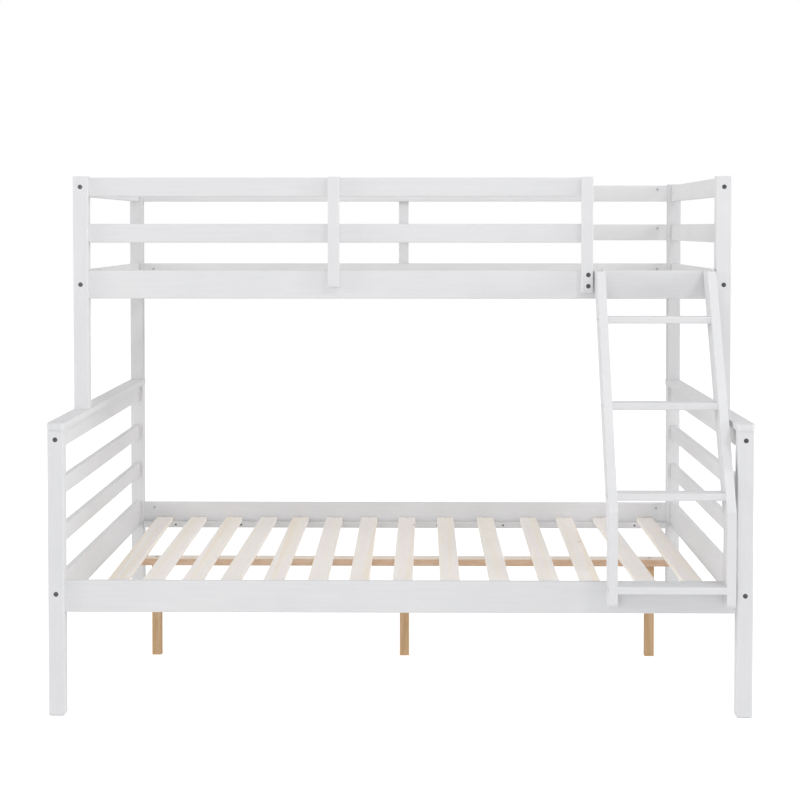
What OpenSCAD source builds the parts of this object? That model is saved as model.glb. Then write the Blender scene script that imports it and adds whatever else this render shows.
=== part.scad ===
// Twin-over-full bunk bed with a fixed-angle ladder.
// X runs along the bed, Y from the front to the back, Z up from the floor.
// The origin is on the floor, under the middle of the whole object.

/* [Overall] */
// Length over the legs
bed_length = 1990; // [1940:5:2100]
// Width of the lower bed over its legs
lower_width = 1456; // [1400:1:1600]
// Width of the upper bed over its posts
upper_width = 1075; // [1000:1:1150]
// How far the ladder's foot stands in front of the legs
ladder_reach = 55; // [45:1:70]

/* [Legs and posts] */
// Side of the square legs and posts
post_size = 45; // [42:1:60]
// Height of the lower legs, without the cap
leg_height = 814; // [780:1:860]
// Height of the upper posts, above the cap
post_height = 707; // [690:1:760]
// Thickness of the cap board that joins a front leg to a back leg
cap_thickness = 18; // [15:1:25]
// How far the cap board stands out past the legs
cap_overhang = 3; // [1:0.5:6]
// Radius of the cap board's corners
cap_corner = 12; // [4:1:20]
// Chamfer round the foot of a leg
foot_chamfer = 4; // [1:0.5:6]

/* [Boards] */
// Thickness of the rails
board_thickness = 20; // [18:1:24]
// Radius of a board's long edges
edge_radius = 3; // [1:0.5:5]
// Height of the lower side rails and lower end rails
lower_rail_height = 90; // [80:1:110]
// Height of the upper side rails
upper_rail_height = 86; // [75:1:110]
// Height of the guard rails and of the top rails of the ends
guard_height = 57; // [45:1:70]
// Height of the two middle boards of a lower end
end_board_height = 49; // [40:1:60]
// Floor to the underside of the lower side rails
lower_rail_z = 294; // [250:1:320]
// How far the lower end rails lie above the lower side rails
end_rail_rise = 8; // [0:1:10]
// Floor to the underside of the upper side rails
upper_rail_z = 1168; // [1120:1:1200]
// Floor to the underside of the two guard rails
guard_z = [1338, 1478];
// Floor to the underside of the two middle boards of a lower end
end_board_z = [482, 620];
// Depth of the housing that takes the end of a middle board
housing_depth = 8; // [4:1:12]

/* [Guard uprights] */
// Width of an upright
upright_width = 35; // [30:1:45]
// Middle of the upright between the guard rails' ends
middle_upright_x = -205; // [-400:1:100]
// Middle of the upright beside the ladder, where the guard rails end
ladder_upright_x = 561; // [500:1:563]
// Middle of the upright behind the back guard rails
back_upright_x = -4; // [-300:1:300]
// Floor to the lower end of the middle upright and of the back one
middle_upright_z = 1205; // [1180:1:1230]
// Floor to the lower end of the upright beside the ladder
ladder_upright_z = 1187; // [1170:1:1200]
// Floor to the top of the uprights
upright_top = 1537; // [1500:1:1538]

/* [Slats and supports] */
// Width of a slat
slat_width = 60; // [50:1:75]
// Thickness of a slat
slat_thickness = 15; // [12:1:20]
// Middle of each lower slat along the bed, laid by hand and not evenly
lower_slat_x = [-859, -747, -624, -505, -381, -252, -127, 6, 147, 294, 445, 571, 724, 871];
// Degrees by which each lower slat lies askew
lower_slat_turn = [1.2, 0.2, -0.3, -0.9, -0.2, 0.3, 0.2, -0.2, 0, 0.2, -0.2, -0.6, 1, 0];
// Number of upper slats, evenly laid
upper_slat_count = 12; // [10:1:14]
// Side of a ledger, the strip that carries the slats
ledger_depth = 20; // [18:1:30]
// Height of a ledger
ledger_height = 22; // [18:1:30]
// Width of the centre beam, which lies flat under the slats
beam_width = 58; // [45:1:80]
// Thickness of the centre beam
beam_thickness = 23; // [18:1:30]
// Length of the centre beam
beam_length = 1760; // [1700:5:1800]
// Side of a square support leg
support_size = 30; // [28:1:45]
// Distance between support legs
support_pitch = 797; // [700:1:815]
// How far the middle support leg stands off the bed's middle
support_offset = 6; // [0:1:10]

/* [Ladder] */
// Thickness of a stringer
stringer_thickness = 25; // [20:1:26]
// Depth of a stringer along Y, where it leans
stringer_depth = 88; // [80:1:100]
// Left face of the left stringer
ladder_left_x = 583; // [580:1:587]
// Distance between the stringers
ladder_inner_width = 304; // [280:1:309]
// Floor to the lower end of the stringers
ladder_foot_z = 323; // [310:1:340]
// Floor to the height where the front edge starts to lean back
ladder_bend_z = 591; // [560:1:620]
// Radius of the foot's front corner
ladder_foot_radius = 14; // [5:1:25]
// Floor to the underside of the lowest rung
first_rung_z = 362; // [350:1:366]
// Floor to the underside of the second rung
second_rung_z = 620; // [600:1:630]
// Height between the rungs above it
rung_pitch = 241; // [230:1:250]
// Thickness of a rung
rung_thickness = 20; // [18:1:25]
// Depth of a rung's tread
rung_depth = 67; // [60:1:75]

/* [Fasteners] */
// Diameter of the frame bolts
bolt_diameter = 6; // [6:0.5:8]
// Diameter of a frame bolt's head
bolt_head = 14; // [11:0.5:16]
// Distance from a post's inner face to the barrel nut
nut_inset = 38; // [30:1:45]
// Diameter of a barrel nut
nut_diameter = 10; // [9:0.5:12]
// Diameter of a wood screw
screw_diameter = 3.5; // [3:0.5:4.5]
// Diameter of the pins that locate the upper bed
pin_diameter = 10; // [8:1:12]
// Height of a locating pin above the cap
pin_rise = 40; // [25:1:50]

/* [Hidden] */
$fn = 48;

LEFT = -1;
RIGHT = 1;
FRONT = -1;
BACK = 1;
WHITE_PAINT = [0.93, 0.93, 0.94];
PINE = [0.88, 0.79, 0.66];
SUPPORT_PINE = [0.80, 0.66, 0.46];
DARK_STEEL = [0.25, 0.25, 0.27];
ZINC = [0.62, 0.63, 0.65];

// Slack between a piece and the housing or bore it is fixed in
fixed_slack = 0.1;
// Slack between a locating pin and the post that lifts off it
running_slack = 0.08;
// Gap between flat faces of pieces that come apart
parting_gap = 0.3;
// Small overshoot, so that cuts pass through faces
cut = 1;

// The box of the whole object is centred on X and Y.
half_length = bed_length / 2;
post_x = half_length - post_size / 2;
inner_x = half_length - post_size;
board_setback = (post_size - board_thickness) / 2;
upright_proud = board_thickness - board_setback;
total_depth = ladder_reach + lower_width + upright_proud;
lower_front = -total_depth / 2 + ladder_reach;
lower_back = lower_front + lower_width;
upper_front = lower_back - upper_width;
lower_mid = (lower_front + lower_back) / 2;
upper_mid = (upper_front + lower_back) / 2;
cap_top = leg_height + cap_thickness;

// Near face of each row of side rails
lower_rail_front_y = lower_front + board_setback;
upper_rail_front_y = upper_front + board_setback;
rail_back_y = lower_back - board_setback - board_thickness;

// Slat levels
lower_slat_z = lower_rail_z + ledger_height;
upper_slat_z = upper_rail_z + ledger_height;
slat_end_gap = 3;
upper_slat_span = 2 * (inner_x - 55);

// Joint heights: end rails are bolted at mid height, side and guard rails higher up
end_top_joint = leg_height - guard_height / 2;
end_bottom_z = lower_rail_z + end_rail_rise;
end_bottom_joint = end_bottom_z + lower_rail_height / 2;
lower_side_joint = lower_rail_z + 71;
upper_end_top_joint = guard_z[1] + guard_height / 2;
upper_end_bottom_joint = upper_rail_z + upper_rail_height / 2;
upper_side_joint = upper_rail_z + 65;
guard_joint_rise = 43;

// Bolt and barrel nut
bolt_length = post_size + nut_inset + 8;
head_height = 4.5;
head_recess = 0.5;
socket_across_corners = 5.8;
socket_depth = 2.8;
nut_length = 15;
nut_recess = 1.5;
nut_slot = [1.4, 8, 1.5];

// Countersunk wood screw
screw_head = 2 * screw_diameter;
screw_head_height = 2.4;
screw_recess = 0.3;
slat_screw_length = 34;
ledger_screw_length = 34;
beam_screw_length = 34;
upright_screw_length = 34;
support_screw_length = 70;
rung_screw_length = 55;
hook_screw_length = 18;
ledger_screw_count = 8;
ledger_screw_end = 118;
rung_screw_spacing = 36;

// Locating pin
pin_depth = cap_thickness + 20;
pin_tip = 1.5;

// Ladder
ladder_top_z = upper_rail_z + upper_rail_height - 1;
ladder_front = lower_front - ladder_reach;
ladder_right_x = ladder_left_x + stringer_thickness + ladder_inner_width;
foot_back = lower_rail_front_y - parting_gap;
top_back = upper_rail_front_y - parting_gap;
// Run of the leaning part for each unit of height: its back edge ends at the rail's top
ladder_lean = (top_back - stringer_depth - ladder_front) / (ladder_top_z - ladder_bend_z);
hook_thickness = 4;
hook_arm = 6;
hook_plate = [58, 62];
hook_tail = 42;
hook_hole_spacing = 36;

// Y of the ladder's front edge at a height
function ladder_edge(z) = ladder_front + max(0, z - ladder_bend_z) * ladder_lean;
function ladder_back_height(y) = ladder_bend_z + (y - stringer_depth - ladder_front) / ladder_lean;
function rung_z(i) = i == 0 ? first_rung_z : second_rung_z + (i - 1) * rung_pitch;

// A joint is the bolt's point on the post's outer face, its direction, and the way
// to the inside of the bed, where the barrel nut goes in.
function end_joint(side, face, outer_y, z) = [[side * post_x, outer_y, z], [0, -face, 0], [-side, 0, 0]];
function side_joint(side, face, rail_y, z) =
    [[side * half_length, rail_y + board_thickness / 2, z], [-side, 0, 0], [0, -face, 0]];

function lower_y(face) = face == FRONT ? lower_front : lower_back;
function upper_y(face) = face == FRONT ? upper_front : lower_back;
function lower_rail_y(face) = face == FRONT ? lower_rail_front_y : rail_back_y;
function upper_rail_y(face) = face == FRONT ? upper_rail_front_y : rail_back_y;

function lower_end_joints(side, z) = [for (face = [FRONT, BACK]) end_joint(side, face, lower_y(face), z)];
function upper_end_joints(side, z) = [for (face = [FRONT, BACK]) end_joint(side, face, upper_y(face), z)];
function lower_side_joints(face) =
    [for (side = [LEFT, RIGHT]) side_joint(side, face, lower_rail_y(face), lower_side_joint)];
function upper_side_joints(face) =
    [for (side = [LEFT, RIGHT]) side_joint(side, face, upper_rail_y(face), upper_side_joint)];
function guard_sides(face) = face == FRONT ? [LEFT] : [LEFT, RIGHT];
function guard_joints(face, z) =
    [for (side = guard_sides(face)) side_joint(side, face, upper_rail_y(face), z + guard_joint_rise)];

function joined(lists) = [for (list = lists) for (item = list) item];
lower_joints = joined([
    for (side = [LEFT, RIGHT]) for (z = [end_top_joint, end_bottom_joint]) lower_end_joints(side, z),
    for (face = [FRONT, BACK]) lower_side_joints(face)
]);
upper_joints = joined([
    for (side = [LEFT, RIGHT]) for (z = [upper_end_top_joint, upper_end_bottom_joint])
        upper_end_joints(side, z),
    for (face = [FRONT, BACK]) upper_side_joints(face),
    for (face = [FRONT, BACK]) for (z = guard_z) guard_joints(face, z)
]);

// The joints of one post: those whose bolt starts on it
function post_joints(joints, side, outer_y) =
    [for (j = joints) if (j[0].x * side > 0 && abs(j[0].y - outer_y) < post_size) j];

// Places along a ledger for its screws
function ledger_screw_x(i) =
    -inner_x + ledger_screw_end + i * 2 * (inner_x - ledger_screw_end) / (ledger_screw_count - 1);
function upper_slat_x(i) = -upper_slat_span / 2 + i * upper_slat_span / (upper_slat_count - 1);

// ---- Shapes that repeat ----

module rounded_rect(w, h, r) {
    translate([r, 0]) square([w - 2 * r, h]);
    translate([0, r]) square([w, h - 2 * r]);
    for (x = [r, w - r]) for (y = [r, h - r]) translate([x, y]) circle(r);
}

// A board along X, its section measured along Y and Z
module board_x(from, to, y, z, thick, tall) {
    translate([from, y, z]) rotate([90, 0, 90]) linear_extrude(to - from)
        rounded_rect(thick, tall, edge_radius);
}

// A board along Y, its section measured along X and Z
module board_y(x, from, to, z, thick, tall) {
    translate([x, to, z]) rotate([90, 0, 0]) linear_extrude(to - from) rounded_rect(thick, tall, edge_radius);
}

// A square post that stands along Z, its middle on x and y
module post(x, y, z, tall, size) {
    translate([x - size / 2, y - size / 2, z]) linear_extrude(tall) rounded_rect(size, size, edge_radius);
}

// Wedges that chamfer the four lower edges of a square post
module foot_chamfers(x, y, size) {
    for (turn = [0, 90, 180, 270]) {
        translate([x, y, 0]) rotate([0, 0, turn]) translate([size / 2, 0, 0]) rotate([0, 45, 0])
            cube([foot_chamfer * sqrt(2), 2 * size, foot_chamfer * sqrt(2)], center = true);
    }
}

// Turns +Z to point along a horizontal direction, from a point
module along(point, direction) {
    translate(point) rotate([0, 90, atan2(direction.y, direction.x)]) children();
}

module frame_bolt() {
    difference() {
        union() {
            translate([0, 0, head_recess]) cylinder(d = bolt_head, h = head_height);
            translate([0, 0, head_recess]) cylinder(d = bolt_diameter, h = bolt_length - head_recess);
        }
        translate([0, 0, head_recess - cut])
            cylinder(d = socket_across_corners, h = socket_depth + cut, $fn = 6);
    }
}

module bolt_bore() {
    translate([0, 0, -cut]) cylinder(d = bolt_head + 2 * fixed_slack, h = head_recess + head_height + cut);
    cylinder(d = bolt_diameter + 2 * fixed_slack, h = bolt_length + cut);
}

module barrel_nut() {
    difference() {
        translate([0, 0, nut_recess]) cylinder(d = nut_diameter, h = nut_length);
        translate([0, 0, board_thickness / 2]) rotate([90, 0, 0])
            cylinder(d = bolt_diameter + 2 * fixed_slack, h = nut_diameter + 2 * cut, center = true);
        translate([-nut_slot.x / 2, -nut_slot.y / 2, nut_recess - cut])
            cube([nut_slot.x, nut_slot.y, nut_slot.z + cut]);
    }
}

module nut_bore() {
    translate([0, 0, -cut])
        cylinder(d = nut_diameter + 2 * fixed_slack, h = nut_recess + nut_length + 2 * cut);
}

// Point on the rail's inner face where a joint's barrel nut goes in
function nut_point(j) = j[0] + j[1] * (post_size + nut_inset) + j[2] * board_thickness / 2;

module bolt_bores(joints) {
    for (j = joints) along(j[0], j[1]) bolt_bore();
}

module joint_bores(joints) {
    bolt_bores(joints);
    for (j = joints) along(nut_point(j), -j[2]) nut_bore();
}

// A countersunk screw that goes in along +Z from the surface at z = 0
module wood_screw(length, d = screw_diameter) {
    translate([0, 0, screw_recess]) cylinder(d1 = 2 * d, d2 = d, h = screw_head_height);
    translate([0, 0, screw_recess + screw_head_height])
        cylinder(d = d, h = length - screw_recess - screw_head_height);
}

module screw_bore(length, d = screw_diameter) {
    translate([0, 0, screw_recess])
        cylinder(d1 = 2 * (d + fixed_slack), d2 = d + 2 * fixed_slack, h = screw_head_height);
    translate([0, 0, -cut]) cylinder(d = 2 * (d + fixed_slack), h = screw_recess + cut);
    cylinder(d = d + 2 * fixed_slack, h = length + fixed_slack);
}

module down(point) {
    translate(point) mirror([0, 0, 1]) children();
}

// ---- Lower bed ----

module lower_leg(side, face) {
    mid_y = lower_y(face) - face * post_size / 2;
    color(WHITE_PAINT) difference() {
        post(side * post_x, mid_y, 0, leg_height, post_size);
        foot_chamfers(side * post_x, mid_y, post_size);
        bolt_bores(post_joints(lower_joints, side, lower_y(face)));
        for (z = end_board_z) end_housing(side, mid_y, face, z, end_board_height);
        if (face == BACK) pin_bore(side, face);
    }
}

// The pocket in a post that takes the end of a middle board of an end panel
module end_housing(side, mid_y, face, z, tall) {
    translate([side * post_x, mid_y - face * post_size / 2, z + tall / 2])
        cube([board_thickness + 2 * fixed_slack, 2 * housing_depth, tall + 2 * fixed_slack], center = true);
}

function pin_y(face) = upper_y(face) - face * post_size / 2;

module pin_bore(side, face) {
    translate([side * post_x, pin_y(face), cap_top - pin_depth - cut])
        cylinder(d = pin_diameter + 2 * fixed_slack, h = pin_depth + 2 * cut);
}

module cap(side) {
    width = post_size + 2 * cap_overhang;
    long = lower_width + 2 * cap_overhang;
    color(WHITE_PAINT) difference() {
        translate([side * post_x - width / 2, lower_front - cap_overhang, leg_height])
            linear_extrude(cap_thickness) rounded_rect(width, long, cap_corner);
        for (face = [FRONT, BACK]) pin_bore(side, face);
    }
}

module lower_end_rail(side, z, tall, joint_z) {
    x = side * post_x - board_thickness / 2;
    color(WHITE_PAINT) difference() {
        board_y(x, lower_front + post_size, lower_back - post_size, z, board_thickness, tall);
        joint_bores(lower_end_joints(side, joint_z));
        if (z + tall == leg_height) pin_bore(side, FRONT);
    }
}

module lower_end_board(side, z) {
    x = side * post_x - board_thickness / 2;
    inset = post_size - housing_depth + fixed_slack;
    color(WHITE_PAINT)
        board_y(x, lower_front + inset, lower_back - inset, z, board_thickness, end_board_height);
}

module lower_side_rail(face) {
    y = lower_rail_y(face);
    color(WHITE_PAINT) difference() {
        board_x(-inner_x, inner_x, y, lower_rail_z, board_thickness, lower_rail_height);
        joint_bores(lower_side_joints(face));
        ledger_screw_set(face, lower_rail_y(face), lower_rail_z) screw_bore(ledger_screw_length);
    }
}

// Face of a ledger that looks to the inside of the bed
function ledger_inner_y(face, rail_y) =
    face == FRONT ? rail_y + board_thickness + ledger_depth : rail_y - ledger_depth;

// Puts its child at each screw that holds a ledger to its rail
module ledger_screw_set(face, rail_y, rail_z) {
    for (i = [0 : ledger_screw_count - 1])
        along([ledger_screw_x(i), ledger_inner_y(face, rail_y), rail_z + ledger_height / 2], [0, face, 0])
            children();
}

module ledger(face, rail_y, rail_z) {
    y = face == FRONT ? rail_y + board_thickness : rail_y - ledger_depth;
    color(WHITE_PAINT) board_x(-inner_x + cut, inner_x - cut, y, rail_z, ledger_depth, ledger_height);
}

// Puts its child on top of both ends of a lower slat, turned with it
module lower_slat_ends(i) {
    reach = ledger_inner_y(BACK, rail_back_y) + ledger_depth / 2 - lower_mid;
    place_slat(lower_slat_x[i], lower_slat_turn[i], lower_mid, lower_slat_z)
        for (end = [-1, 1]) down([0, end * reach, slat_thickness]) children();
}

module place_slat(x, turn, y, z) {
    translate([x, y, z]) rotate([0, 0, turn]) children();
}

module slat(length) {
    board_y(-slat_width / 2, -length / 2, length / 2, 0, slat_width, slat_thickness);
}

module lower_slats() {
    length = lower_width - 2 * (board_setback + board_thickness + slat_end_gap);
    color(PINE) for (i = [0 : len(lower_slat_x) - 1]) difference() {
        place_slat(lower_slat_x[i], lower_slat_turn[i], lower_mid, lower_slat_z) slat(length);
        lower_slat_ends(i) screw_bore(slat_screw_length);
        if (beam_screwed(lower_slat_x[i])) beam_screw_place(lower_slat_x[i]) screw_bore(beam_screw_length);
    }
}

// Puts its child on the underside of the centre beam, pointing up into a slat
module beam_screw_place(x) {
    translate([x, lower_mid, lower_slat_z - beam_thickness]) children();
}

module centre_beam() {
    color(PINE) difference() {
        board_x(-beam_length / 2, beam_length / 2, lower_mid - beam_width / 2,
            lower_slat_z - beam_thickness, beam_width, beam_thickness);
        for (x = lower_slat_x) if (beam_screwed(x)) beam_screw_place(x) screw_bore(beam_screw_length);
        for (i = [-1 : 1]) support_screw_place(i) screw_bore(support_screw_length, bolt_diameter);
    }
}

function support_x(i) = i * support_pitch + (i == 0 ? support_offset : 0);

// The beam is screwed to each slat from below, but not where the middle support leg stands
function beam_screwed(x) = abs(x - support_x(0)) > support_size;

module support_screw_place(i) {
    down([support_x(i), lower_mid, lower_slat_z]) children();
}

module support_leg(i) {
    color(SUPPORT_PINE) difference() {
        post(support_x(i), lower_mid, 0, lower_slat_z - beam_thickness, support_size);
        support_screw_place(i) screw_bore(support_screw_length, bolt_diameter);
    }
}

module lower_bolts() {
    color(DARK_STEEL) for (j = lower_joints) along(j[0], j[1]) frame_bolt();
}

module lower_barrel_nuts() {
    color(ZINC) for (j = lower_joints) along(nut_point(j), -j[2]) barrel_nut();
}

module lower_screws() {
    color(DARK_STEEL) {
        for (i = [0 : len(lower_slat_x) - 1]) {
            lower_slat_ends(i) wood_screw(slat_screw_length);
            if (beam_screwed(lower_slat_x[i])) beam_screw_place(lower_slat_x[i]) wood_screw(beam_screw_length);
        }
        for (face = [FRONT, BACK])
            ledger_screw_set(face, lower_rail_y(face), lower_rail_z) wood_screw(ledger_screw_length);
        for (i = [-1 : 1]) support_screw_place(i) wood_screw(support_screw_length, bolt_diameter);
    }
}

module locating_pins() {
    color(ZINC) for (side = [LEFT, RIGHT]) for (face = [FRONT, BACK])
        translate([side * post_x, pin_y(face), cap_top - pin_depth]) {
            cylinder(d = pin_diameter, h = pin_depth + pin_rise - pin_tip);
            translate([0, 0, pin_depth + pin_rise - pin_tip])
                cylinder(d1 = pin_diameter, d2 = pin_diameter - 2 * pin_tip, h = pin_tip);
        }
}

// ---- Upper bed ----

module upper_post(side, face) {
    mid_y = pin_y(face);
    color(WHITE_PAINT) difference() {
        post(side * post_x, mid_y, cap_top + parting_gap, post_height - parting_gap, post_size);
        bolt_bores(post_joints(upper_joints, side, upper_y(face)));
        end_housing(side, mid_y, face, guard_z[0], guard_height);
        translate([side * post_x, mid_y, cap_top - cut])
            cylinder(d = pin_diameter + 2 * running_slack, h = pin_rise + 3 * cut);
    }
}

module upper_end_rail(side, z, tall, joint_z) {
    x = side * post_x - board_thickness / 2;
    color(WHITE_PAINT) difference() {
        board_y(x, upper_front + post_size, lower_back - post_size, z, board_thickness, tall);
        joint_bores(upper_end_joints(side, joint_z));
    }
}

module upper_end_middle_rail(side) {
    x = side * post_x - board_thickness / 2;
    inset = post_size - housing_depth + fixed_slack;
    color(WHITE_PAINT)
        board_y(x, upper_front + inset, lower_back - inset, guard_z[0], board_thickness, guard_height);
}

module upper_side_rail(face) {
    color(WHITE_PAINT) difference() {
        board_x(-inner_x, inner_x, upper_rail_y(face), upper_rail_z, board_thickness, upper_rail_height);
        joint_bores(upper_side_joints(face));
        ledger_screw_set(face, upper_rail_y(face), upper_rail_z) screw_bore(ledger_screw_length);
        if (face == FRONT) {
            upright_bolt_places() upright_bolt_bore();
            upright_screws(middle_upright_x, FRONT, [side_screw_z]) screw_bore(upright_screw_length);
        } else {
            upright_screws(back_upright_x, BACK, [side_screw_z]) screw_bore(upright_screw_length);
        }
    }
}

guard_front_end = ladder_upright_x + upright_width / 2;

module guard_rail(face, z) {
    to = face == FRONT ? guard_front_end : inner_x;
    color(WHITE_PAINT) difference() {
        board_x(-inner_x, to, upper_rail_y(face), z, board_thickness, guard_height);
        joint_bores(guard_joints(face, z));
        if (face == FRONT) {
            upright_screws(middle_upright_x, FRONT, guard_screw_z) screw_bore(upright_screw_length);
            upright_screws(ladder_upright_x, FRONT, guard_screw_z) screw_bore(upright_screw_length);
        } else {
            upright_screws(back_upright_x, BACK, guard_screw_z) screw_bore(upright_screw_length);
        }
    }
}

// Heights of the screws that hold the rails to an upright
guard_screw_z = [for (z = guard_z) z + guard_height / 2];
side_screw_z = upper_rail_z + upper_rail_height - 20;

// Puts its child at each screw through an upright and its rails. They go in from behind:
// from the inside of the bed at the front, through the upright first at the back.
module upright_screws(x, face, heights) {
    y = upper_rail_y(face) + (face == FRONT ? 1 : 2) * board_thickness;
    for (z = heights) along([x, y, z], [0, FRONT, 0]) children();
}

// The two bolts that show on the front of the upright beside the ladder
upright_bolt_z = [1207, 1241];
upright_bolt_offset = 3;
upright_bolt_length = 2 * board_thickness;

module upright_bolt_places() {
    for (z = upright_bolt_z)
        along([ladder_upright_x + upright_bolt_offset, upper_rail_front_y - board_thickness, z], [0, BACK, 0])
            children();
}

module upright_bolt() {
    intersection() {
        frame_bolt();
        cylinder(d = 2 * bolt_head, h = upright_bolt_length - head_recess);
    }
}

module upright_bolt_bore() {
    intersection() {
        bolt_bore();
        translate([0, 0, -cut]) cylinder(d = 2 * bolt_head, h = upright_bolt_length + 2 * cut);
    }
}

module guard_upright(x, face, z) {
    y = face == FRONT ? upper_rail_front_y - board_thickness : rail_back_y + board_thickness;
    color(WHITE_PAINT) difference() {
        translate([x - upright_width / 2, y, z]) linear_extrude(upright_top - z)
            rounded_rect(upright_width, board_thickness, edge_radius);
        upright_screws(x, face, guard_screw_z) screw_bore(upright_screw_length);
        if (x == ladder_upright_x) upright_bolt_places() upright_bolt_bore();
        else upright_screws(x, face, [side_screw_z]) screw_bore(upright_screw_length);
    }
}

// Puts its child on top of both ends of an upper slat
module upper_slat_ends(i) {
    reach = ledger_inner_y(BACK, rail_back_y) + ledger_depth / 2 - upper_mid;
    for (end = [-1, 1])
        down([upper_slat_x(i), upper_mid + end * reach, upper_slat_z + slat_thickness]) children();
}

module upper_slats() {
    length = upper_width - 2 * (board_setback + board_thickness + slat_end_gap);
    color(PINE) for (i = [0 : upper_slat_count - 1]) difference() {
        place_slat(upper_slat_x(i), 0, upper_mid, upper_slat_z) slat(length);
        upper_slat_ends(i) screw_bore(slat_screw_length);
    }
}

module upper_bolts() {
    color(DARK_STEEL) {
        for (j = upper_joints) along(j[0], j[1]) frame_bolt();
        upright_bolt_places() upright_bolt();
    }
}

module upper_barrel_nuts() {
    color(ZINC) for (j = upper_joints) along(nut_point(j), -j[2]) barrel_nut();
}

module upper_screws() {
    color(DARK_STEEL) {
        for (i = [0 : upper_slat_count - 1]) upper_slat_ends(i) wood_screw(slat_screw_length);
        for (face = [FRONT, BACK])
            ledger_screw_set(face, upper_rail_y(face), upper_rail_z) wood_screw(ledger_screw_length);
        upright_screws(middle_upright_x, FRONT, concat(guard_screw_z, side_screw_z))
            wood_screw(upright_screw_length);
        upright_screws(ladder_upright_x, FRONT, guard_screw_z) wood_screw(upright_screw_length);
        upright_screws(back_upright_x, BACK, concat(guard_screw_z, side_screw_z))
            wood_screw(upright_screw_length);
    }
}

// ---- Ladder ----

// Outline of a stringer in the Y-Z plane
module stringer_profile() {
    r = ladder_foot_radius;
    polygon([
        [ladder_front + r, ladder_foot_z],
        [foot_back, ladder_foot_z],
        [foot_back, ladder_back_height(foot_back)],
        [top_back, ladder_top_z],
        [ladder_edge(ladder_top_z), ladder_top_z],
        [ladder_front, ladder_bend_z],
        [ladder_front, ladder_foot_z + r]
    ]);
    translate([ladder_front + r, ladder_foot_z + r]) circle(r);
}

module ladder_stringer(x) {
    side = x == ladder_left_x ? LEFT : RIGHT;
    color(WHITE_PAINT) difference() {
        translate([x, 0, 0]) rotate([90, 0, 90]) linear_extrude(stringer_thickness) stringer_profile();
        for (i = [0 : 3]) rung_screws(i, side) screw_bore(rung_screw_length, 1.3 * screw_diameter);
        hook_screws(side) screw_bore(hook_screw_length);
    }
}

function rung_front(i) = ladder_edge(rung_z(i) + rung_thickness);

module ladder_rung(i) {
    color(WHITE_PAINT) difference() {
        board_x(ladder_left_x + stringer_thickness, ladder_right_x, rung_front(i), rung_z(i),
            rung_depth, rung_thickness);
        for (side = [LEFT, RIGHT]) rung_screws(i, side) screw_bore(rung_screw_length, 1.3 * screw_diameter);
    }
}

// Puts its child on a stringer's outer face, pointing into the end of a rung
module rung_screws(i, side) {
    x = side == LEFT ? ladder_left_x : ladder_right_x + stringer_thickness;
    for (step = [-1, 1])
        along([x, rung_front(i) + rung_depth / 2 + step * rung_screw_spacing / 2,
            rung_z(i) + rung_thickness / 2], [-side, 0, 0]) children();
}

function stringer_x(side) = side == LEFT ? ladder_left_x : ladder_right_x;
function hook_x(side) = stringer_x(side) + stringer_thickness;

// A flat steel hook on the right face of a stringer, over the top of the upper side rail
module ladder_hook(side) {
    rail_top = upper_rail_z + upper_rail_height + parting_gap;
    rail_inner = upper_rail_front_y + board_thickness + parting_gap;
    plate_y = top_back - hook_plate.x;
    difference() {
        translate([hook_x(side), 0, 0]) rotate([90, 0, 90]) linear_extrude(hook_thickness) polygon([
            [plate_y, rail_top - hook_plate.y],
            [top_back, rail_top - hook_plate.y],
            [top_back, rail_top],
            [rail_inner, rail_top],
            [rail_inner, rail_top - hook_tail],
            [rail_inner + hook_arm - 2, rail_top - hook_tail],
            [rail_inner + hook_arm, rail_top - hook_tail + 4],
            [rail_inner + hook_arm, rail_top + hook_arm - 4],
            [rail_inner + hook_arm - 4, rail_top + hook_arm],
            [top_back - hook_arm, rail_top + hook_arm],
            [plate_y, rail_top - 2 * hook_arm]
        ]);
        hook_screws(side) screw_bore(hook_screw_length);
    }
}

// Puts its child on the hook plate's open face, pointing into the stringer
module hook_screws(side) {
    x = hook_x(side) + hook_thickness;
    middle = [top_back - hook_plate.x / 2, upper_rail_z + upper_rail_height - 38];
    for (step = [-1, 1])
        along([x, middle.x + step * hook_hole_spacing / 2, middle.y - step * 6], [LEFT, 0, 0]) children();
}

module ladder_hooks() {
    color(WHITE_PAINT) for (side = [LEFT, RIGHT]) ladder_hook(side);
}

module ladder_screws() {
    color(DARK_STEEL) for (side = [LEFT, RIGHT]) {
        for (i = [0 : 3]) rung_screws(i, side) wood_screw(rung_screw_length, 1.3 * screw_diameter);
        hook_screws(side) wood_screw(hook_screw_length);
    }
}

// ---- Nodes ----

module lower_top_rail(side) {
    lower_end_rail(side, leg_height - guard_height, guard_height, end_top_joint);
}

module lower_bottom_rail(side) {
    lower_end_rail(side, end_bottom_z, lower_rail_height, end_bottom_joint);
}

module upper_top_rail(side) {
    upper_end_rail(side, guard_z[1], guard_height, upper_end_top_joint);
}

module upper_bottom_rail(side) {
    upper_end_rail(side, upper_rail_z, upper_rail_height, upper_end_bottom_joint);
}

// A ledger with the bores of its slat screws and rail screws
module lower_ledger(face) {
    difference() {
        ledger(face, lower_rail_y(face), lower_rail_z);
        for (i = [0 : len(lower_slat_x) - 1]) lower_slat_ends(i) screw_bore(slat_screw_length);
        ledger_screw_set(face, lower_rail_y(face), lower_rail_z) screw_bore(ledger_screw_length);
    }
}

module upper_ledger(face) {
    difference() {
        ledger(face, upper_rail_y(face), upper_rail_z);
        for (i = [0 : upper_slat_count - 1]) upper_slat_ends(i) screw_bore(slat_screw_length);
        ledger_screw_set(face, upper_rail_y(face), upper_rail_z) screw_bore(ledger_screw_length);
    }
}

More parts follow.
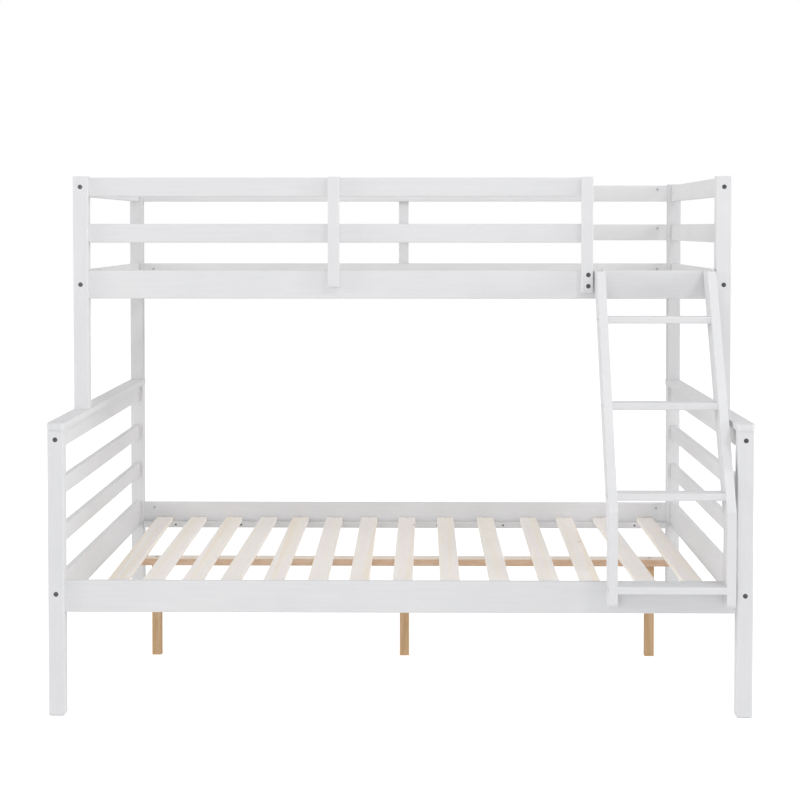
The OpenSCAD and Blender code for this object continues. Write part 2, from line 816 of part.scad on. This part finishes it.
lower_leg(LEFT, FRONT);  // lower_leg_front_left
lower_leg(RIGHT, FRONT);  // lower_leg_front_right
lower_leg(LEFT, BACK);  // lower_leg_back_left
lower_leg(RIGHT, BACK);  // lower_leg_back_right
cap(LEFT);  // cap_left
cap(RIGHT);  // cap_right
lower_top_rail(LEFT);  // lower_end_top_rail_left
lower_top_rail(RIGHT);  // lower_end_top_rail_right
lower_end_board(LEFT, end_board_z[1]);  // lower_end_upper_board_left
lower_end_board(RIGHT, end_board_z[1]);  // lower_end_upper_board_right
lower_end_board(LEFT, end_board_z[0]);  // lower_end_lower_board_left
lower_end_board(RIGHT, end_board_z[0]);  // lower_end_lower_board_right
lower_bottom_rail(LEFT);  // lower_end_bottom_rail_left
lower_bottom_rail(RIGHT);  // lower_end_bottom_rail_right
lower_side_rail(FRONT);  // lower_side_rail_front
lower_side_rail(BACK);  // lower_side_rail_back
lower_ledger(FRONT);  // lower_ledger_front
lower_ledger(BACK);  // lower_ledger_back
lower_slats();
centre_beam();
support_leg(-1);  // support_leg_left
support_leg(0);  // support_leg_middle
support_leg(1);  // support_leg_right
lower_bolts();
lower_barrel_nuts();
lower_screws();
locating_pins();
upper_post(LEFT, FRONT);  // upper_post_front_left
upper_post(RIGHT, FRONT);  // upper_post_front_right
upper_post(LEFT, BACK);  // upper_post_back_left
upper_post(RIGHT, BACK);  // upper_post_back_right
upper_top_rail(LEFT);  // upper_end_top_rail_left
upper_top_rail(RIGHT);  // upper_end_top_rail_right
upper_end_middle_rail(LEFT);  // upper_end_middle_rail_left
upper_end_middle_rail(RIGHT);  // upper_end_middle_rail_right
upper_bottom_rail(LEFT);  // upper_end_bottom_rail_left
upper_bottom_rail(RIGHT);  // upper_end_bottom_rail_right
upper_side_rail(FRONT);  // upper_side_rail_front
upper_side_rail(BACK);  // upper_side_rail_back
upper_ledger(FRONT);  // upper_ledger_front
upper_ledger(BACK);  // upper_ledger_back
guard_rail(FRONT, guard_z[0]);  // guard_rail_front_lower
guard_rail(FRONT, guard_z[1]);  // guard_rail_front_top
guard_rail(BACK, guard_z[0]);  // guard_rail_back_lower
guard_rail(BACK, guard_z[1]);  // guard_rail_back_top
guard_upright(middle_upright_x, FRONT, middle_upright_z);  // guard_upright_middle
guard_upright(ladder_upright_x, FRONT, ladder_upright_z);  // guard_upright_ladder
guard_upright(back_upright_x, BACK, middle_upright_z);  // guard_upright_back
upper_slats();
upper_bolts();
upper_barrel_nuts();
upper_screws();
ladder_stringer(ladder_left_x);  // ladder_stringer_left
ladder_stringer(ladder_right_x);  // ladder_stringer_right
ladder_rung(0);  // ladder_rung_1
ladder_rung(1);  // ladder_rung_2
ladder_rung(2);  // ladder_rung_3
ladder_rung(3);  // ladder_rung_4
ladder_hooks();
ladder_screws();
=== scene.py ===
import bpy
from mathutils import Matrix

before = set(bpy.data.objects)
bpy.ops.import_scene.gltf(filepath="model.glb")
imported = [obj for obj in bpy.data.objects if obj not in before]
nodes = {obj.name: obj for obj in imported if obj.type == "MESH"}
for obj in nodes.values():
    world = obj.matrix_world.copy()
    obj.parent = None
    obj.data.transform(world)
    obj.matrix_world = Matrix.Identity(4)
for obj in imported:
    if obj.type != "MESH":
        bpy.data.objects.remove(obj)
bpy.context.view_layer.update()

# The looks of a white bunk bed: materials, soft edges, floor, light and camera.
# Lengths are in metres and colours in linear RGB.

import math
import bpy
from mathutils import Vector

scene = bpy.context.scene

UNSCALED = (1.0, 1.0, 1.0)

WHITE = (1.0, 1.0, 1.0)
BLACK = (0.0, 0.0, 0.0)

PAINT_DIM = (0.755, 0.758, 0.775)
PAINT_BRIGHT = (0.790, 0.790, 0.802)
PAINT_STREAK = (0.975, 0.975, 0.975)

# Shades that are multiplied into the raw wood's own colour
FIBRE_SHADE = (0.975, 0.965, 0.95)
CLOUD_SHADE = (0.98, 0.97, 0.97)
KNOT_HEART = (0.52, 0.36, 0.24)
KNOT_RIM = (0.72, 0.55, 0.40)

# Width of the rounding on a node's edges, by a word in its name
SOFT_EDGES = {
    "ladder_stringer": 0.0022,
    "ladder_rung": 0.0008,
    "cap": 0.002,
    "post": 0.0015,
    "upright": 0.0015,
}
SOFT_EDGE_ANGLE = 50.0

# The floor and the backdrop look white to the camera, but light the bed less than that
FLOOR_SIZE = 60.0
FLOOR_TONE = 0.95
FLOOR_SEEN_TONE = 0.90
FLOOR_SEEN_GLOW = 0.50
WORLD_GLOW = 0.63
WORLD_SEEN_GLOW = 1.0

LIGHT_TARGET = Vector((0.1, 0.0, 0.8))

# Lens and sensor in millimetres, the shift in picture widths, the turns in degrees
CAMERA_LENS = 78.3
CAMERA_SENSOR = 36.0
CAMERA_SHIFT = -0.145
CAMERA_PLACE = (0.0628, -5.581, 1.384)
CAMERA_LOOKS_DOWN = 1.86
CAMERA_TURNS_LEFT = 0.73


# ---- Materials ----

class Shader:
    """A small helper that builds one node material."""

    def __init__(self, name):
        self.mat = bpy.data.materials.new(name)
        self.mat.use_nodes = True
        self.tree = self.mat.node_tree
        self.bsdf = self.tree.nodes["Principled BSDF"]

    def node(self, kind, **settings):
        n = self.tree.nodes.new(kind)
        for key, value in settings.items():
            setattr(n, key, value)
        return n

    def link(self, a, b):
        self.tree.links.new(a, b)

    def coords(self, stretch):
        """Object coordinates in metres, scaled by stretch along each axis."""
        tex = self.node("ShaderNodeTexCoord")
        mapping = self.node("ShaderNodeMapping")
        mapping.inputs["Scale"].default_value = stretch
        self.link(tex.outputs["Object"], mapping.inputs["Vector"])
        return mapping.outputs["Vector"]

    def noise(self, vector, scale, detail=3.0, roughness=0.55, distortion=0.0):
        n = self.node("ShaderNodeTexNoise")
        n.inputs["Scale"].default_value = scale
        n.inputs["Detail"].default_value = detail
        n.inputs["Roughness"].default_value = roughness
        n.inputs["Distortion"].default_value = distortion
        self.link(vector, n.inputs["Vector"])
        return n.outputs["Fac"]

    def ramp(self, fac, stops):
        """Colours by position, from a list of (position, colour)."""
        n = self.node("ShaderNodeValToRGB")
        while len(n.color_ramp.elements) < len(stops):
            n.color_ramp.elements.new(0.5)
        for element, (at, colour) in zip(n.color_ramp.elements, stops):
            element.position = at
            element.color = (*colour, 1.0)
        self.link(fac, n.inputs["Fac"])
        return n.outputs["Color"]

    def span(self, fac, low, high):
        """Stretches 0 to 1 into low to high."""
        n = self.node("ShaderNodeMapRange")
        n.inputs["To Min"].default_value = low
        n.inputs["To Max"].default_value = high
        self.link(fac, n.inputs["Value"])
        return n.outputs["Result"]

    def mix(self, fac, a, b, blend="MIX"):
        n = self.node("ShaderNodeMix", data_type="RGBA", blend_type=blend)
        if isinstance(fac, (int, float)):
            n.inputs["Factor"].default_value = fac
        else:
            self.link(fac, n.inputs["Factor"])
        self.link(a, n.inputs["A"])
        self.link(b, n.inputs["B"])
        return n.outputs["Result"]

    def bump(self, height, distance, strength=1.0, normal=None):
        n = self.node("ShaderNodeBump")
        n.inputs["Strength"].default_value = strength
        n.inputs["Distance"].default_value = distance
        self.link(height, n.inputs["Height"])
        if normal is not None:
            self.link(normal, n.inputs["Normal"])
        return n.outputs["Normal"]

    def finish(self, colour, roughness, normal):
        self.link(colour, self.bsdf.inputs["Base Color"])
        self.link(roughness, self.bsdf.inputs["Roughness"])
        self.link(normal, self.bsdf.inputs["Normal"])
        return self.mat


def along_grain(axis, squeeze):
    """Mapping scale that stretches a pattern along one axis."""
    return tuple(squeeze if i == "XYZ".index(axis) else 1.0 for i in range(3))


def shaded(colour, shade):
    return tuple(shade * v for v in colour)


def paint(axis, name="white_paint", shade=1.0):
    """White satin paint over pine, whose grain shows through as faint streaks and a soft bump."""
    s = Shader(name + "_" + axis.lower())
    grain_space = s.coords(along_grain(axis, squeeze=0.05))
    plain_space = s.coords(UNSCALED)
    clouds = s.noise(plain_space, scale=5.0, detail=4.0)
    grain = s.noise(grain_space, scale=160.0, detail=4.0, roughness=0.6, distortion=0.3)
    brushed = s.noise(grain_space, scale=520.0, detail=2.0)
    tone = s.ramp(clouds, [(0.3, shaded(PAINT_DIM, shade)), (0.7, shaded(PAINT_BRIGHT, shade))])
    streak = s.ramp(grain, [(0.35, PAINT_STREAK), (0.62, WHITE)])
    colour = s.mix(1.0, tone, streak, "MULTIPLY")
    bump = s.bump(grain, distance=0.00025, strength=0.5)
    bump = s.bump(brushed, distance=0.00008, strength=0.35, normal=bump)
    s.bsdf.inputs["Specular IOR Level"].default_value = 0.45
    return s.finish(colour, s.span(clouds, low=0.34, high=0.52), bump)


def pine(name, axis, pale, warm, ring, knots=True, top=None, blush=None):
    """Raw softwood: growth rings, fine fibres and a tone of its own on each board.

    Each board takes pale, warm or blush, or a tone between two of them. Knots are small dark spots, and
    top is a paler colour painted onto faces that look up: painted light, as if lit from above.
    """
    s = Shader(name)
    ring_space = s.coords(along_grain(axis, squeeze=0.10))
    fibre_space = s.coords(along_grain(axis, squeeze=0.02))
    plain_space = s.coords(UNSCALED)
    rings = s.noise(ring_space, scale=55.0, detail=2.0, roughness=0.5, distortion=1.2)
    fibres = s.noise(fibre_space, scale=900.0, detail=3.0, roughness=0.7)
    clouds = s.noise(plain_space, scale=7.0, detail=2.0)
    island = s.node("ShaderNodeNewGeometry").outputs["Random Per Island"]
    blush = blush or pale
    tone = s.ramp(island, [
        (0.0, pale), (0.22, blush), (0.42, pale), (0.58, warm), (0.74, pale), (0.88, blush), (1.0, warm)])
    lines = s.ramp(rings, [(0.40, WHITE), (0.50, ring), (0.56, WHITE), (0.70, ring), (0.74, WHITE)])
    colour = s.mix(0.55, tone, lines, "MULTIPLY")
    colour = s.mix(0.5, colour, s.ramp(fibres, [(0.3, FIBRE_SHADE), (0.7, WHITE)]), "MULTIPLY")
    colour = s.mix(0.6, colour, s.ramp(clouds, [(0.3, CLOUD_SHADE), (0.7, WHITE)]), "MULTIPLY")
    if knots:
        cells = s.node("ShaderNodeTexVoronoi")
        cells.inputs["Scale"].default_value = 4.2
        s.link(s.coords(along_grain(axis, squeeze=0.45)), cells.inputs["Vector"])
        spot = s.ramp(cells.outputs["Distance"], [(0.0, KNOT_HEART), (0.022, KNOT_RIM), (0.045, WHITE)])
        colour = s.mix(1.0, colour, spot, "MULTIPLY")
    # Painted light: faces that look up take the paler top colour, a painted highlight standing in for
    # light from above
    if top is not None:
        up = s.node("ShaderNodeSeparateXYZ")
        s.link(s.node("ShaderNodeNewGeometry").outputs["Normal"], up.inputs["Vector"])
        facing = s.ramp(up.outputs["Z"], [(0.6, BLACK), (0.9, WHITE)])
        painted_light_top = s.ramp(fibres, [(0.3, shaded(top, 0.96)), (0.7, top)])
        colour = s.mix(facing, colour, painted_light_top)
    bump = s.bump(fibres, distance=0.00020, strength=0.6)
    bump = s.bump(rings, distance=0.00018, strength=0.35, normal=bump)
    s.bsdf.inputs["Specular IOR Level"].default_value = 0.3
    return s.finish(colour, s.span(fibres, low=0.58, high=0.78), bump)


def steel(name, dark, light, rough):
    """Steel, slightly blotched, with fine turning marks."""
    s = Shader(name)
    space = s.coords(UNSCALED)
    blotch = s.noise(space, scale=90.0, detail=3.0)
    fine = s.noise(space, scale=1600.0, detail=2.0)
    colour = s.ramp(blotch, [(0.3, dark), (0.7, light)])
    s.bsdf.inputs["Metallic"].default_value = 1.0
    roughness = s.span(blotch, low=rough - 0.08, high=rough + 0.1)
    return s.finish(colour, roughness, s.bump(fine, distance=0.00006, strength=0.5))


def powder_coat():
    """White powder coat on steel, with its fine orange peel."""
    s = Shader("white_powder_coat")
    space = s.coords(UNSCALED)
    peel = s.noise(space, scale=900.0, detail=2.0)
    clouds = s.noise(space, scale=20.0, detail=2.0)
    colour = s.ramp(clouds, [(0.3, (0.80, 0.80, 0.81)), (0.7, (0.84, 0.84, 0.845))])
    roughness = s.span(clouds, low=0.28, high=0.4)
    return s.finish(colour, roughness, s.bump(peel, distance=0.00012, strength=0.5))


PAINT = {axis: paint(axis) for axis in "XYZ"}
# A 10% darker copy of the white paint for the upper back posts: painted shade, not a paint of their own
PAINTED_SHADE_POST_PAINT = paint("Z", "greyer_paint", shade=0.90)
SLAT_PINE = pine(
    "slat_pine", "Y", pale=(0.99, 0.97, 0.93), warm=(0.99, 0.91, 0.80), ring=(0.97, 0.93, 0.88),
    blush=(0.99, 0.95, 0.94))
# The beam's up-facing faces are painted paler than its sides: painted light from above
BEAM_PINE = pine(
    "beam_pine", "X", pale=(0.72, 0.53, 0.39), warm=(0.72, 0.53, 0.39), ring=(0.84, 0.70, 0.56),
    knots=False, top=(0.90, 0.82, 0.74))
SUPPORT_PINE = pine(
    "support_pine", "Z", pale=(0.67, 0.48, 0.30), warm=(0.63, 0.44, 0.26), ring=(0.86, 0.72, 0.56),
    knots=False)
DARK_STEEL = steel("dark_steel", dark=(0.10, 0.10, 0.11), light=(0.17, 0.17, 0.18), rough=0.42)
ZINC = steel("zinc", dark=(0.48, 0.49, 0.51), light=(0.62, 0.62, 0.63), rough=0.34)
POWDER = powder_coat()


def grain_axis(name):
    """The way the grain of a painted board runs."""
    if "post" in name or "leg" in name or "upright" in name or "stringer" in name:
        return "Z"
    if "end_" in name or "cap" in name:
        return "Y"
    return "X"


def material_for(name):
    if name.endswith("_slats"):
        return SLAT_PINE
    if name == "centre_beam":
        return BEAM_PINE
    if name.startswith("support_leg"):
        return SUPPORT_PINE
    if name.endswith("_bolts") or name.endswith("_screws"):
        return DARK_STEEL
    if name.endswith("barrel_nuts") or name == "locating_pins":
        return ZINC
    if name == "ladder_hooks":
        return POWDER
    # The upper back posts take the darker copy of the paint: painted shade
    if name.startswith("upper_post_back"):
        return PAINTED_SHADE_POST_PAINT
    return PAINT[grain_axis(name)]


# ---- Nodes ----

def soften(obj, width):
    """A small rounding on the sharp edges that the eye would catch."""
    mod = obj.modifiers.new("soft_edges", "BEVEL")
    mod.width = width
    mod.segments = 2
    mod.limit_method = "ANGLE"
    mod.angle_limit = math.radians(SOFT_EDGE_ANGLE)
    mod.use_clamp_overlap = True


for name, obj in nodes.items():
    obj.data.materials.clear()
    obj.data.materials.append(material_for(name))
    for word, width in SOFT_EDGES.items():
        if word in name:
            soften(obj, width)
            break


# ---- Floor, light and camera ----

def stage_floor():
    bpy.ops.mesh.primitive_plane_add(size=FLOOR_SIZE, location=(0.0, 0.0, 0.0))
    floor = bpy.context.object
    floor.name = "floor"
    s = Shader("pale_floor")
    s.bsdf.inputs["Roughness"].default_value = 0.9
    s.bsdf.inputs["Specular IOR Level"].default_value = 0.0
    s.bsdf.inputs["Emission Color"].default_value = (*WHITE, 1.0)
    seen = s.node("ShaderNodeLightPath").outputs["Is Camera Ray"]
    s.link(s.span(seen, low=FLOOR_TONE, high=FLOOR_SEEN_TONE), s.bsdf.inputs["Base Color"])
    s.link(s.span(seen, low=0.0, high=FLOOR_SEEN_GLOW), s.bsdf.inputs["Emission Strength"])
    floor.data.materials.append(s.mat)


def area_light(name, azimuth, elevation, distance, size, power):
    """A square soft box aimed at the bed. Azimuth is measured from the front towards +X."""
    a = math.radians(azimuth)
    e = math.radians(elevation)
    out = Vector((math.sin(a) * math.cos(e), -math.cos(a) * math.cos(e), math.sin(e)))
    data = bpy.data.lights.new(name, "AREA")
    data.shape = "SQUARE"
    data.size = size
    data.energy = power
    lamp = bpy.data.objects.new(name, data)
    lamp.location = LIGHT_TARGET + out * distance
    lamp.rotation_mode = "QUATERNION"
    lamp.rotation_quaternion = (-out).to_track_quat("-Z", "Y")
    scene.collection.objects.link(lamp)


def light_world():
    world = bpy.data.worlds.new("studio")
    world.use_nodes = True
    tree = world.node_tree
    backdrop = tree.nodes["Background"]
    backdrop.inputs["Color"].default_value = (*WHITE, 1.0)
    seen = tree.nodes.new("ShaderNodeLightPath")
    level = tree.nodes.new("ShaderNodeMapRange")
    level.inputs["To Min"].default_value = WORLD_GLOW
    level.inputs["To Max"].default_value = WORLD_SEEN_GLOW
    tree.links.new(seen.outputs["Is Camera Ray"], level.inputs["Value"])
    tree.links.new(level.outputs["Result"], backdrop.inputs["Strength"])
    scene.world = world


def place_camera():
    data = bpy.data.cameras.new("camera")
    data.lens = CAMERA_LENS
    data.sensor_width = CAMERA_SENSOR
    data.shift_y = CAMERA_SHIFT
    camera = bpy.data.objects.new("camera", data)
    camera.location = CAMERA_PLACE
    camera.rotation_euler = (math.radians(90.0 - CAMERA_LOOKS_DOWN), 0.0, math.radians(CAMERA_TURNS_LEFT))
    scene.collection.objects.link(camera)
    scene.camera = camera


stage_floor()
area_light("key", azimuth=38.0, elevation=42.0, distance=6.5, size=1.1, power=52.0)
area_light("overhead", azimuth=5.0, elevation=76.0, distance=5.5, size=4.0, power=15.0)
area_light("front", azimuth=-14.0, elevation=8.0, distance=9.0, size=3.0, power=60.0)
# These two stand far away, so that the outer faces near them don't burn out
area_light("left", azimuth=-78.0, elevation=12.0, distance=15.0, size=4.5, power=640.0)
area_light("right", azimuth=78.0, elevation=12.0, distance=15.0, size=4.5, power=660.0)
light_world()
scene.view_settings.view_transform = "Standard"
place_camera()
